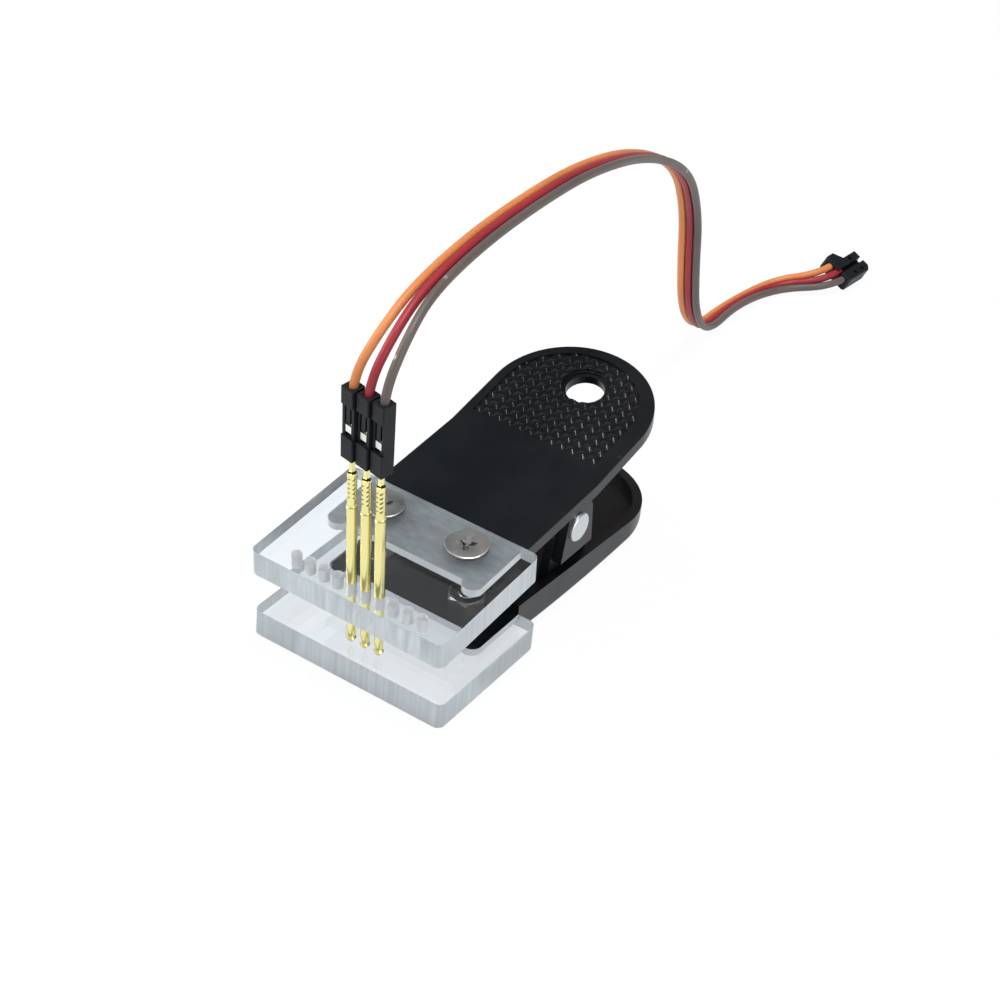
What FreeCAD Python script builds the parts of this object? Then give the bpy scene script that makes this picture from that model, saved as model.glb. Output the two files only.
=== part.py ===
import FreeCAD
import Part
import math
import os

# Sizes in mm. X is the width, Y runs from the probes to the handles, Z is up.
# Each clear plate is drawn with its inner face at z 0, its outer face up and
# its front edge at y 0. The lower plate is level, and the upper plate leans.

# Clear plates
plate_w = 35.0
plate_d = 25.0
plate_t = 4.5
plate_corner_r = 1.2
plate_web = 2.0
pocket_fit = 0.15
pocket_front = 14.65
relief_r = 1.7
jaw_gap = 7.6
upper_set_back = -1.0
upper_lean = 4.15

# Probe row
hole_pitch = 2.54
hole_count = 10
hole_row_y = 3.5
hole_r = 0.85
probe_slots = (5, 6, 7)

# Screws and nuts
screw_side = 6.2
screw_y = 19.9
screw_r = 1.45
screw_hole_r = 1.6
head_r = 3.35
head_h = 1.0
head_edge_r = 0.35
cross_w = 0.75
cross_l = 3.4
cross_depth = 0.6
nut_flats = 5.5
nut_h = 2.3

# Levers
lever_half_w = 13.95
jaw_front_gap = 0.1
jaw_t = 2.3
upper_t = 2.3
upper_bend_y = 46.5
upper_bend = 7.3
tail_y = 71.8
upper_web = 1.25
wall = 1.6
recess_front = 29.5
upper_edge_r = 0.35
grip_hole_y = 62.8
grip_hole_r = 3.2
grip_bore_r = 3.9
grip_bore_depth = 0.8
tray_gap = 0.25
rim_front = 1.4
rim_tail = -2.1
tray_depth = 1.4
tray_floor_t = 2.1
belly_end_z = -4.5
core_wall = 1.9
core_front = 30.0
belly_edge_r = 1.2

# Pivot
pivot_y = 40.6
pivot_z = 7.9
pin_r = 2.4
pin_stand = 0.5
pin_fit = 0.05
ear_fit = 0.1
ear_t = 1.6
ear_front = 36.6
ear_back = 45.4
ear_low = 2.7
inner_ear_top_r = 3.6
inner_ear_front = 35.2
inner_ear_back = 47.4

# Torsion spring
coil_wire_r = 0.5
coil_r = 3.05
coil_turns = 6
coil_pitch = 1.12
upper_leg = 9.5
lower_leg = 9.9
lower_leg_angle = 40.0

# Probes, along the hole's axis from the plate's inner face
tube_r = 0.84
tube_low = 0.2
tube_high = 25.0
tube_neck = 5.8
neck_r = 0.72
neck_bore_r = 0.55
barrel_r = 0.68
barrel_low = -5.95
barrel_len = 22.5
barrel_bore_r = 0.52
barrel_fit = 0.01
plunger_r = 0.49
plunger_len = 9.0
plunger_gap = 0.12
tip_r = 0.78
tip_cone_h = 1.12
tip_band_h = 0.12
tip_top_r = 0.52
tip_low = -7.7
probe_spring_wire_r = 0.09
probe_spring_turns = 9

# Single pin housings and their pins
housing_w = 2.44
housing_len = 12.3
housing_low = (27.9, 27.7, 27.5)
housing_lean = (0.4, 0.9, 1.4)
housing_turn = 11.0
window_w = 1.3
window_h = 2.2
window_up = 4.0
recess_up = 3.9
recess_h = 5.5
recess_depth = 0.35
latch_slot_w = 0.32
latch_slot_x = 0.72
latch_slot_h = 2.9
latch_slot_depth = 0.8
wire_bore_r = 0.76
wire_bore_h = 5.0
male_pin = 0.64
pin_bore = 0.70
male_pin_down = 3.8
lock_w = 1.15
lock_d = 1.6
lock_h = 1.2
lock_up = 4.6

# Wires
wire_r = 0.69
wire_names = ("orange", "red", "brown")
wire_depth = 1.6
wire_out = 3.4

# End connector, resting on one lower edge on the table. Its own frame has the
# wires' end at x 0, the edge it rests on at y 0 and its under face at z 0.
plug_len = 7.5
plug_w = 4.7
plug_h = 3.1
plug_ear_w = 6.6
plug_ear_len = 2.3
plug_taper_len = 1.3
plug_corner = 0.4
plug_far_corner = 0.8
plug_roll = 24.0
plug_heading = 84.0
plug_x = 2.92
plug_y = 154.4
plug_pitch = 1.75
plug_wire_y = 3.1
plug_wire_z = 1.9
plug_wire_hole_r = 0.75
plug_wire_depth = 1.2
plug_wire_out = 4.0
valley_w = 0.9
valley_y = 2.15
valley_depth = 1.3
notch_w = 0.8
notch_len = 0.9
notch_depth = 0.5
notch_places = ((2.7, 0.5), (4.9, 0.5), (4.3, 3.5))
contact_pitch = 1.3
socket_w = 0.96
socket_h = 1.2
contact_w = 0.86
contact_h = 1.1
contact_len = 4.8
contact_wall = 0.18

OUT = "parts"
V = FreeCAD.Vector
X_AXIS = V(1, 0, 0)
Y_AXIS = V(0, 1, 0)
Z_AXIS = V(0, 0, 1)
LOWER_INNER_Z = head_h + plate_t
POCKET_HALF_W = lever_half_w + pocket_fit
SCREW_HALF_GAP = lever_half_w - screw_side
# Half size of the solids that cut a piece right through
FAR = 60.0
LEVER_TOP = plate_t - plate_web


def box(x0, x1, y0, y1, z0, z1):
    return Part.makeBox(x1 - x0, y1 - y0, z1 - z0, V(x0, y0, z0))


def rod(r, base, length, axis=Z_AXIS):
    return Part.makeCylinder(r, length, base, axis)


def side_prism(points, x0, x1):
    """Prism along X over an outline given as (y, z) points."""
    loop = [V(x0, y, z) for y, z in points]
    loop.append(loop[0])
    return Part.Face(Part.makePolygon(loop)).extrude(V(x1 - x0, 0, 0))


def plan_outline(half_w, y0, y1, z0, z1):
    """Upright prism with a square front and a round tail that ends at y1."""
    mid = y1 - half_w
    edges = [
        Part.makeLine(V(half_w, mid, z0), V(half_w, y0, z0)),
        Part.makeLine(V(half_w, y0, z0), V(-half_w, y0, z0)),
        Part.makeLine(V(-half_w, y0, z0), V(-half_w, mid, z0)),
        Part.Arc(V(-half_w, mid, z0), V(0, y1, z0), V(half_w, mid, z0)).toShape(),
    ]
    face = Part.Face(Part.Wire(edges))
    return face.extrude(V(0, 0, z1 - z0))


def lay_lower(shape):
    """Turn a plate's own frame over, onto the lower plate."""
    s = shape.copy()
    s.rotate(V(0, 0, 0), Y_AXIS, 180)
    s.translate(V(0, 0, LOWER_INNER_Z))
    return s


def lay_upper(shape):
    """Lean a plate's own frame back, onto the upper plate."""
    s = shape.copy()
    s.rotate(V(0, 0, 0), X_AXIS, upper_lean)
    s.translate(V(0, upper_set_back, LOWER_INNER_Z + jaw_gap))
    return s


def raise_to_plate(shape):
    s = shape.copy()
    s.translate(V(0, 0, LOWER_INNER_Z))
    return s


def hole_x(slot):
    return (slot - (hole_count + 1) / 2.0) * hole_pitch


def clear_plate(with_probe_holes):
    body = box(-plate_w / 2, plate_w / 2, 0, plate_d, 0, plate_t)
    corners = [e for e in body.Edges if abs(e.Vertexes[0].Z - e.Vertexes[1].Z) > plate_t / 2]
    body = body.makeFillet(plate_corner_r, corners)
    depth = plate_t - plate_web
    cuts = [box(-POCKET_HALF_W, POCKET_HALF_W, pocket_front, FAR, -FAR, depth)]
    for side in (-1, 1):
        centre = V(side * (POCKET_HALF_W - relief_r), pocket_front + 0.3, -1)
        cuts.append(rod(relief_r, centre, depth + 1))
        cuts.append(rod(screw_hole_r, V(side * SCREW_HALF_GAP, screw_y, -1), plate_t + 2))
    if with_probe_holes:
        for slot in range(1, hole_count + 1):
            cuts.append(rod(hole_r, V(hole_x(slot), hole_row_y, -1), plate_t + 2))
    return body.cut(cuts)


def screw(side):
    head = rod(head_r, V(0, 0, plate_t), head_h)
    top = [e for e in head.Edges if len(e.Vertexes) == 1 and e.CenterOfMass.z > plate_t + head_h / 2]
    head = head.makeFillet(head_edge_r, top)
    shank_low = LEVER_TOP - jaw_t - nut_h
    shank = rod(screw_r, V(0, 0, shank_low), plate_t - shank_low)
    z0 = plate_t + head_h - cross_depth
    z1 = plate_t + head_h + 1
    slots = [
        box(-cross_l / 2, cross_l / 2, -cross_w / 2, cross_w / 2, z0, z1),
        box(-cross_w / 2, cross_w / 2, -cross_l / 2, cross_l / 2, z0, z1),
    ]
    s = head.fuse(shank).cut(slots).removeSplitter()
    s.translate(V(side * SCREW_HALF_GAP, screw_y, 0))
    return s


def nut(side):
    z0 = LEVER_TOP - jaw_t - nut_h
    r = nut_flats / math.sqrt(3.0)
    loop = [V(r * math.cos(math.radians(a)), r * math.sin(math.radians(a)), z0) for a in range(0, 361, 60)]
    body = Part.Face(Part.makePolygon(loop)).extrude(V(0, 0, nut_h))
    crown = Part.makeCone(nut_flats / 2 - 0.1 + nut_h, nut_flats / 2 - 0.1, nut_h, V(0, 0, z0 + nut_h), V(0, 0, -1))
    body = body.common(crown).cut(rod(screw_r, V(0, 0, z0 - 1), nut_h + 2))
    body.translate(V(side * SCREW_HALF_GAP, screw_y, 0))
    return body


def upper_top(y):
    """Height of the upper lever's top in the plate's own frame."""
    return LEVER_TOP + max(0.0, y - upper_bend_y) * math.tan(math.radians(upper_bend))


def upper_lever():
    lean = math.radians(upper_lean)
    end = (tail_y - upper_set_back) / math.cos(lean)
    front = pocket_front + jaw_front_gap
    over = FAR + tail_y
    drop = upper_t
    profile = [
        (front, LEVER_TOP - drop), (front, LEVER_TOP), (upper_bend_y, LEVER_TOP), (over, upper_top(over)),
        (over, upper_top(over) - drop), (upper_bend_y, LEVER_TOP - drop),
    ]
    body = side_prism(profile, -FAR, FAR)
    body = body.common(plan_outline(lever_half_w, front, end, -FAR, FAR))
    top = [e for e in body.Edges if on_upper_rim(e)]
    body = body.makeFillet(upper_edge_r, top)
    web = upper_web
    hollow = [
        (recess_front, -FAR), (recess_front, LEVER_TOP - web), (upper_bend_y, LEVER_TOP - web),
        (over, upper_top(over) - web), (over, -FAR),
    ]
    hollow = side_prism(hollow, -lever_half_w, lever_half_w)
    hollow = hollow.common(plan_outline(lever_half_w - wall, recess_front, end - wall, -FAR, FAR))
    body = body.cut(hollow)
    hole_y = (grip_hole_y - upper_set_back) / math.cos(lean)
    axis = V(0, -math.sin(math.radians(upper_bend)), math.cos(math.radians(upper_bend)))
    seat = V(0, hole_y, upper_top(hole_y))
    body = body.fuse(rod(grip_bore_r + wall, seat - axis * drop * 0.98, drop * 0.9, axis))
    body = body.cut([
        rod(grip_hole_r, seat - axis * FAR, 2 * FAR, axis),
        rod(grip_bore_r, seat - axis * grip_bore_depth, FAR, axis),
    ])
    for side in (-1, 1):
        body = body.cut(rod(screw_hole_r, V(side * SCREW_HALF_GAP, screw_y, -FAR), 2 * FAR))
    body = lay_upper(body)
    ears = [upper_ear(side) for side in (-1, 1)]
    body = body.fuse(ears)
    holes = rod(pin_r, V(-FAR, pivot_y, LOWER_INNER_Z + pivot_z), 2 * FAR, X_AXIS)
    return body.cut(holes).removeSplitter()


def on_upper_rim(edge):
    """True for the top outline of the upper lever behind the plate."""
    p = edge.CenterOfMass
    if edge.Length < 3 or p.y < pocket_front + 1:
        return False
    ends = [v.Point for v in edge.Vertexes]
    flat = max(abs(q.z - upper_top(q.y)) for q in ends) < 0.01
    outer = max(abs(q.x) for q in ends) > lever_half_w - 0.01
    across = abs(ends[0].y - ends[-1].y) < 0.01 and abs(ends[0].x + ends[-1].x) < 0.01
    return flat and outer and not (across and abs(p.y - ends[0].y) < 0.01)


def upper_ear(side):
    z = LOWER_INNER_Z
    top = pivot_z + 5.0
    outline = [
        (ear_front, z + ear_low), (ear_front + 1.2, z + pivot_z + 3.0), (ear_front + 1.2, z + top - 0.6),
        (ear_back - 2.0, z + top - 0.6), (ear_back - 2.0, z + pivot_z + 3.9), (ear_back - 0.9, z + pivot_z + 2.2),
        (ear_back, z + ear_low),
    ]
    x0, x1 = sorted((side * (lever_half_w - ear_t), side * lever_half_w))
    return side_prism(outline, x0, x1)


def lower_lever():
    front = pocket_front + jaw_front_gap
    rear = plate_d + tray_gap
    low = LEVER_TOP
    jaw = box(-lever_half_w, lever_half_w, front, rear + 4, -low, -low + jaw_t)
    belly_low = -LOWER_INNER_Z
    edges = [
        Part.Arc(V(0, rear, belly_end_z), V(0, (rear + tail_y) / 2, belly_low), V(0, tail_y, belly_end_z)).toShape(),
        Part.makeLine(V(0, tail_y, belly_end_z), V(0, tail_y, rim_tail)),
        Part.makeLine(V(0, tail_y, rim_tail), V(0, rear, rim_front)),
        Part.makeLine(V(0, rear, rim_front), V(0, rear, belly_end_z)),
    ]
    tray = Part.Face(Part.Wire(edges)).extrude(V(2 * FAR, 0, 0))
    tray.translate(V(-FAR, 0, 0))
    tray = tray.common(plan_outline(lever_half_w, rear, tail_y, -FAR, FAR))
    tray = tray.makeFillet(belly_edge_r, [e for e in tray.Edges if on_belly_rim(e, rear)])
    slope = (rim_tail - rim_front) / (tail_y - rear)
    floor_front = rim_front - tray_depth
    floor_tail = rim_tail - tray_depth
    well = [
        (rear - wall, floor_front - slope * wall), (rear - wall, FAR), (tail_y, FAR), (tail_y, floor_tail),
    ]
    well = side_prism(well, -lever_half_w, lever_half_w)
    well = well.common(plan_outline(lever_half_w - wall, rear - wall, tail_y - wall, -FAR, FAR))
    floor_low_front = floor_front + slope * (core_front - rear) - tray_floor_t
    core = [
        (core_front, floor_low_front), (tail_y, floor_tail - tray_floor_t), (tail_y, -FAR), (core_front, -FAR),
    ]
    core = side_prism(core, -lever_half_w, lever_half_w)
    core = core.common(plan_outline(lever_half_w - core_wall, core_front, tail_y - core_wall, -FAR, FAR))
    body = tray.cut([well, core]).fuse(jaw)
    for side in (-1, 1):
        body = body.cut(rod(screw_hole_r, V(side * SCREW_HALF_GAP, screw_y, -FAR), 2 * FAR))
        body = body.fuse(lower_ear(side))
    body = body.cut(rod(pin_r + pin_fit, V(-FAR, pivot_y, pivot_z), 2 * FAR, X_AXIS))
    return raise_to_plate(body.removeSplitter())


def on_belly_rim(edge, rear):
    """True for the outer lower outline of the tray, front edge left out."""
    ends = [v.Point for v in edge.Vertexes]
    p = edge.CenterOfMass
    low = max(q.z for q in ends) < belly_end_z + 0.6
    return low and p.y > rear + 1 and edge.Length > 5


def lower_ear(side):
    outer = lever_half_w - ear_t - ear_fit
    x0, x1 = sorted((side * (outer - ear_t), side * outer))
    low = -2.6
    r = inner_ear_top_r
    dome = rod(r, V(x0, pivot_y, pivot_z), ear_t, X_AXIS)
    outline = [
        (inner_ear_front, low), (pivot_y - r * 0.97, pivot_z + r * 0.2), (pivot_y - r * 0.6, pivot_z + r * 0.8),
        (pivot_y + r * 0.6, pivot_z + r * 0.8), (pivot_y + r * 0.97, pivot_z + r * 0.2), (inner_ear_back, low),
    ]
    return side_prism(outline, x0, x1).fuse(dome).removeSplitter()


def pivot_pin():
    half = lever_half_w + pin_stand
    pin = rod(pin_r, V(-half, pivot_y, LOWER_INNER_Z + pivot_z), 2 * half, X_AXIS)
    return pin.makeChamfer(0.15, [e for e in pin.Edges if len(e.Vertexes) == 1])


def coil(radius, pitch, turns, wire_r):
    """A round wire wound about Z from angle 0, centred on its own middle."""
    height = pitch * turns
    path = Part.makeHelix(pitch, height, radius)
    ring = Part.Wire(Part.makeCircle(wire_r, V(radius, 0, 0), Y_AXIS))
    body = Part.Wire(path).makePipeShell([ring], True, True)
    body.translate(V(0, 0, -height / 2))
    return body


def torsion_spring():
    turns = coil_turns + (180.0 - lower_leg_angle) / 360.0
    body = coil(coil_r, coil_pitch, turns, coil_wire_r)
    half = coil_pitch * turns / 2
    centre = V(0, pivot_y, LOWER_INNER_Z + pivot_z)
    body.rotate(V(0, 0, 0), Y_AXIS, 90)
    start = V(-half, 0, 0)
    body.rotate(V(0, 0, 0), X_AXIS, 180)
    body.translate(centre)
    lean = math.radians(upper_lean)
    up_dir = V(0, math.cos(lean), math.sin(lean))
    top = centre + start + V(0, 0, coil_r)
    a = math.radians(lower_leg_angle)
    down_dir = V(0, math.cos(a), -math.sin(a))
    low = centre + V(half, -coil_r * math.sin(a), -coil_r * math.cos(a))
    legs = [rod(coil_wire_r, top, upper_leg, up_dir), rod(coil_wire_r, low, lower_leg, down_dir)]
    balls = [Part.makeSphere(coil_wire_r * 1.02, p) for p in (top, low)]
    return body.fuse(legs + balls)


def revolve(profile):
    """Solid of revolution about Z from (radius, height) points."""
    loop = [V(r, 0, z) for r, z in profile]
    loop.append(loop[0])
    return Part.Face(Part.makePolygon(loop)).revolve(V(0, 0, 0), Z_AXIS, 360)


def receptacle():
    bore = barrel_r + barrel_fit
    step = tube_high - tube_neck
    barrel_top = barrel_low + barrel_len
    shoulder = barrel_top + 0.3
    return revolve([
        (bore, tube_low), (tube_r, tube_low), (tube_r, step - 0.15), (neck_r, step), (neck_r, tube_high),
        (neck_bore_r, tube_high), (neck_bore_r, shoulder + 0.3), (bore, shoulder),
    ])


def barrel():
    top = barrel_low + barrel_len
    bore = barrel_bore_r
    return revolve([
        (bore, barrel_low), (barrel_r, barrel_low), (barrel_r, top - 0.2), (barrel_r - 0.2, top), (0, top),
        (0, top - 0.6), (bore, top - 0.6),
    ])


def plunger():
    head_top = barrel_low - plunger_gap
    return revolve([
        (0, tip_low), (tip_r, tip_low + tip_cone_h), (tip_r, tip_low + tip_cone_h + tip_band_h), (tip_top_r, head_top),
        (plunger_r, head_top), (plunger_r, head_top + plunger_len), (0, head_top + plunger_len),
    ])


def probe_spring():
    low = barrel_low - plunger_gap + plunger_len + 0.15
    high = barrel_low + barrel_len - 0.6 - 0.15
    length = high - low - 2 * probe_spring_wire_r
    r = barrel_bore_r - probe_spring_wire_r - 0.05
    body = coil(r, length / probe_spring_turns, probe_spring_turns, probe_spring_wire_r)
    body.translate(V(0, 0, (low + high) / 2))
    return body


def pin_housing(index):
    z0 = housing_low[index]
    h = housing_w / 2
    top = z0 + housing_len
    body = box(-h, h, -h, h, z0, top)
    upright = [e for e in body.Edges if abs(e.Vertexes[0].Z - e.Vertexes[1].Z) > housing_len / 2]
    body = body.makeChamfer(0.12, upright)
    p = pin_bore / 2
    w = window_w / 2
    window_top = z0 + window_up + window_h
    cuts = [
        rod(wire_bore_r, V(0, 0, top - wire_bore_h), wire_bore_h + 1),
        box(-p, p, -p, p, z0 - 1, top - wire_bore_h + 0.5),
        box(-w, w, -h - 1, h + 1, z0 + window_up, window_top),
        box(-h - 1, h + 1, -h - 1, -h + recess_depth, z0 + recess_up, z0 + recess_up + recess_h),
    ]
    for side in (-1, 1):
        x0, x1 = sorted((side * latch_slot_x, side * (latch_slot_x - latch_slot_w)))
        deep = -h + latch_slot_depth
        cuts.append(box(x0, x1, -h - 1, deep, window_top - 0.1, window_top + latch_slot_h))
    return body.cut(cuts)


def male_pin_shape(index):
    z0 = tube_high - male_pin_down
    z1 = housing_low[index] + housing_len - wire_depth
    h = male_pin / 2
    body = box(-h, h, -h, h, z0, z1)
    ends = [e for e in body.Edges if abs(e.CenterOfMass.z - z0) < 0.01]
    body = body.makeChamfer(0.12, ends)
    low = housing_low[index] + lock_up
    lock = box(-lock_w / 2, lock_w / 2, -lock_d / 2, lock_d / 2, low, low + lock_h)
    return body.fuse(lock).removeSplitter()


def at_slot(shape, slot):
    s = shape.copy()
    s.translate(V(hole_x(slot), hole_row_y, 0))
    return lay_upper(s)


def leaned(shape, index):
    """Turn a housing with its pin about itself and lean it about the probe's mouth."""
    s = shape.copy()
    s.rotate(V(0, 0, 0), Z_AXIS, -housing_turn)
    s.rotate(V(0, 0, tube_high), Y_AXIS, housing_lean[index])
    return s


# Middle line of the three wires from the housings to the end connector, in
# the frame where the lower plate's inner face is z 0. The height of the points
# that lie on the table comes from the wire's own radius.
arch = [
    (2.05, 3.7, 55.6), (0.9, 12.0, 58.7), (-0.7, 27.0, 59.4), (-2.3, 44.0, 58.3), (-3.9, 61.0, 56.0),
    (-5.6, 80.5, 50.4), (-7.4, 99.5, 39.9), (-8.2, 107.3, 27.6), (-8.6, 110.2, 14.5), (-9.1, 114.0, 3.2),
]
table_run = [(-10.1, 122.3), (-10.0, 133.4), (-7.6, 146.6)]
# Distance between neighbours at each point, and how far the row is turned
# clockwise, seen from above. The row stands askew where the last wire is raised.
arch_spread = (2.1, 1.5, 1.42, 1.41, 1.41, 1.41, 1.41, 1.41, 1.41, 1.41)
arch_turn = (0.0, 0.0, 0.0, 0.0, 0.0, 0.0, -6.0, -15.0, -15.0, -8.0)
table_spread = (1.41, 1.28, 1.55)
table_turn = (0.0, 8.0, 32.0)
table_raise = (0.0, 0.6, 0.0)


def wire_exit(index):
    """Start of a wire inside its housing and the direction it leaves in."""
    z = housing_low[index] + housing_len - wire_depth
    a = math.radians(housing_lean[index])
    start = V(math.sin(a) * (z - tube_high), 0, tube_high + math.cos(a) * (z - tube_high))
    out = V(math.sin(a), 0, math.cos(a))
    start = start + V(hole_x(probe_slots[index]), hole_row_y, 0)
    turn = FreeCAD.Rotation(X_AXIS, upper_lean)
    out = turn.multVec(out)
    return turn.multVec(start) + V(0, upper_set_back, jaw_gap), out


def wire_route(index):
    """Points of one wire, in the frame of the lower plate's inner face."""
    side = index - 1
    start, out = wire_exit(index)
    points = [start, start + out * wire_out]
    for (x, y, z), spread, turn in zip(arch, arch_spread, arch_turn):
        a = math.radians(turn)
        points.append(V(x + side * spread * math.cos(a), y - side * spread * math.sin(a), z))
    lie = wire_r - LOWER_INNER_Z
    for (x, y), spread, turn, lift in zip(table_run, table_spread, table_turn, table_raise):
        a = math.radians(turn)
        z = lie + lift * (side + 1)
        points.append(V(x + side * spread * math.cos(a), y - side * spread * math.sin(a), z))
    for x in (-plug_wire_out, plug_wire_depth):
        end = Part.Vertex(x, plug_wire_y - side * plug_pitch, plug_wire_z)
        points.append(on_table(end).Point - V(0, 0, LOWER_INNER_Z))
    return points


def tube_along(points, radius, name):
    """Round tube of straight runs joined by tangent arcs."""
    edges = []
    here = points[0]
    tightest = None
    length = 0.0
    for i in range(1, len(points) - 1):
        a, b, c = points[i - 1], points[i], points[i + 1]
        into = b.sub(a)
        away = c.sub(b)
        shorter = min(into.Length, away.Length)
        into.normalize()
        away.normalize()
        turn = into.getAngle(away)
        set_back = 0.45 * shorter
        bend = set_back / math.tan(turn / 2)
        first = b - into * set_back
        last = b + away * set_back
        centre_way = (away - into)
        centre_way.normalize()
        centre = b + centre_way * (bend / math.cos(turn / 2))
        inward = b - centre
        inward.normalize()
        middle = centre + inward * bend
        edges.append(Part.makeLine(here, first))
        edges.append(Part.Arc(first, middle, last).toShape())
        length += (first - here).Length + bend * turn
        here = last
        tightest = bend if tightest is None else min(tightest, bend)
    edges.append(Part.makeLine(here, points[-1]))
    length += (points[-1] - here).Length
    path = Part.Wire(edges)
    start = points[1].sub(points[0])
    ring = Part.Wire(Part.makeCircle(radius, points[0], start))
    body = path.makePipeShell([ring], True, False)
    section = math.pi * radius * radius
    print("%s length %.1f tightest bend %.2f volume %.1f of %.1f" % (
        name, length, tightest, body.Volume, section * length))
    return body


def end_connector():
    k = plug_corner
    f = plug_far_corner
    taper = plug_ear_len + plug_taper_len
    outline = [
        (0, k), (k, 0), (plug_len - f, 0), (plug_len, f), (plug_len, plug_w), (taper, plug_w),
        (plug_ear_len, plug_ear_w), (k, plug_ear_w), (0, plug_ear_w - k),
    ]
    loop = [V(x, y, 0) for x, y in outline]
    loop.append(loop[0])
    body = Part.Face(Part.makePolygon(loop)).extrude(V(0, 0, plug_h))
    tops = [e for e in body.Edges if min(v.Z for v in e.Vertexes) > plug_h / 2]
    body = body.makeChamfer(k / 2, tops)
    cuts = [box(-FAR, FAR, valley_y, valley_y + valley_w, plug_h - valley_depth, FAR)]
    for x, y in notch_places:
        cuts.append(box(x, x + notch_len, y, y + notch_w, plug_h - notch_depth, FAR))
    for side in (-1, 0, 1):
        y = plug_wire_y + side * plug_pitch
        cuts.append(rod(plug_wire_hole_r, V(-FAR, y, plug_wire_z), FAR + plug_wire_depth, X_AXIS))
        y, z = contact_centre(side)
        w = socket_w / 2
        h = socket_h / 2
        cuts.append(box(plug_wire_depth, FAR, y - w, y + w, z - h, z + h))
    return on_table(body.cut(cuts).removeSplitter())


def contact_centre(side):
    """Middle of a contact in the end connector's own frame, as y and z."""
    return plug_w / 2 + side * contact_pitch, plug_h - valley_depth - socket_h / 2 - contact_wall


def end_contact(side):
    w = contact_w / 2
    h = contact_h / 2
    t = contact_wall
    y, z = contact_centre(-side)
    x0 = plug_wire_depth
    x1 = x0 + contact_len
    shell = box(x0, x1, y - w, y + w, z - h, z + h)
    hollow = box(x0 + contact_h, FAR, y - w + t, y + w - t, z - h + t, z + h - t)
    return on_table(shell.cut(hollow))


def on_table(shape):
    s = shape.copy()
    s.rotate(V(0, 0, 0), X_AXIS, plug_roll)
    s.rotate(V(0, 0, 0), Z_AXIS, plug_heading)
    s.translate(V(plug_x, plug_y, 0))
    return s


def build():
    pieces = {
        "upper_plate": lay_upper(clear_plate(True)),
        "lower_plate": lay_lower(clear_plate(False)),
        "upper_lever": upper_lever(),
        "lower_lever": lower_lever(),
        "pivot_pin": pivot_pin(),
        "torsion_spring": torsion_spring(),
    }
    for word, side in (("left", -1), ("right", 1)):
        pieces["upper_screw_" + word] = lay_upper(screw(side))
        pieces["upper_nut_" + word] = lay_upper(nut(side))
        pieces["lower_screw_" + word] = lay_lower(screw(-side))
        pieces["lower_nut_" + word] = lay_lower(nut(-side))
    cords = {}
    for i, slot in enumerate(probe_slots):
        n = str(i + 1)
        pieces["receptacle_" + n] = at_slot(receptacle(), slot)
        pieces["probe_barrel_" + n] = at_slot(barrel(), slot)
        pieces["probe_spring_" + n] = at_slot(probe_spring(), slot)
        pieces["plunger_" + n] = at_slot(plunger(), slot)
        pieces["pin_housing_" + n] = at_slot(leaned(pin_housing(i), i), slot)
        pieces["male_pin_" + n] = at_slot(leaned(male_pin_shape(i), i), slot)
        name = "wire_" + wire_names[i]
        cords[name] = raise_to_plate(tube_along(wire_route(i), wire_r, name))
        cords["end_contact_" + n] = end_contact(i - 1)
    cords["end_connector"] = end_connector()
    return pieces, cords


def centre_shift(pieces):
    """Move that puts the middle of the clip's box over the origin."""
    boxes = [s.optimalBoundingBox(True, False) for s in pieces.values()]
    y = (min(b.YMin for b in boxes) + max(b.YMax for b in boxes)) / 2
    return V(0, -y, 0)


def main():
    os.makedirs(OUT, exist_ok=True)
    pieces, cords = build()
    shift = centre_shift(pieces)
    print("shift %.4f" % shift.y)
    print("pivot y %.4f z %.4f" % (pivot_y + shift.y, pivot_z + LOWER_INNER_Z))
    for i in range(3):
        route = [p + shift + V(0, 0, LOWER_INNER_Z) for p in wire_route(i)]
        print("route " + wire_names[i] + " " + " ".join("(%.3f, %.3f, %.3f)," % (p.x, p.y, p.z) for p in route))
    pieces.update(cords)
    for name in sorted(pieces):
        shape = pieces[name]
        shape.translate(shift)
        b = shape.optimalBoundingBox(True, False)
        print("%s solids %d valid %s volume %.2f box %.2f %.2f %.2f to %.2f %.2f %.2f" % (
            name, len(shape.Solids), shape.isValid(), shape.Volume, b.XMin, b.YMin, b.ZMin, b.XMax, b.YMax, b.ZMax))
        shape.exportStep(os.path.join(OUT, name + ".step"))


main()
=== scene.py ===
"""Looks of a sprung test clip with clear jaw plates, spring probes and a ribbon lead."""

from __future__ import annotations

import logging
import math
from dataclasses import dataclass, field
from enum import Enum, IntEnum
from typing import Sequence

import bmesh
import bpy
from mathutils import Matrix, Vector

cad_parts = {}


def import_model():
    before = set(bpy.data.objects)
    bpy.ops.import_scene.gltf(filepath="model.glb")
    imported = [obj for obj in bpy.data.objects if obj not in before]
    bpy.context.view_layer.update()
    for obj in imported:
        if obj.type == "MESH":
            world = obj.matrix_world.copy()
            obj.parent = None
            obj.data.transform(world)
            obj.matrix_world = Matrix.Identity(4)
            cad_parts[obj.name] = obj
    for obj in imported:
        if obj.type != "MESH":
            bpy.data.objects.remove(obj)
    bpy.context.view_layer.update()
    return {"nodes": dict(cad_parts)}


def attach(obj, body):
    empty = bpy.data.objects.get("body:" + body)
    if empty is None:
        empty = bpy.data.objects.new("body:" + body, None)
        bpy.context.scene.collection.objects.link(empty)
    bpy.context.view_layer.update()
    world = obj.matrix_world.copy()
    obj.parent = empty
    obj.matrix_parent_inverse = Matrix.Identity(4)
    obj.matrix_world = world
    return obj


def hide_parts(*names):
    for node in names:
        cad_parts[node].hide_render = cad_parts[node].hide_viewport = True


LOG = logging.getLogger("test_clip")
MM = 0.001
UPPER = "upper_half"
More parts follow.
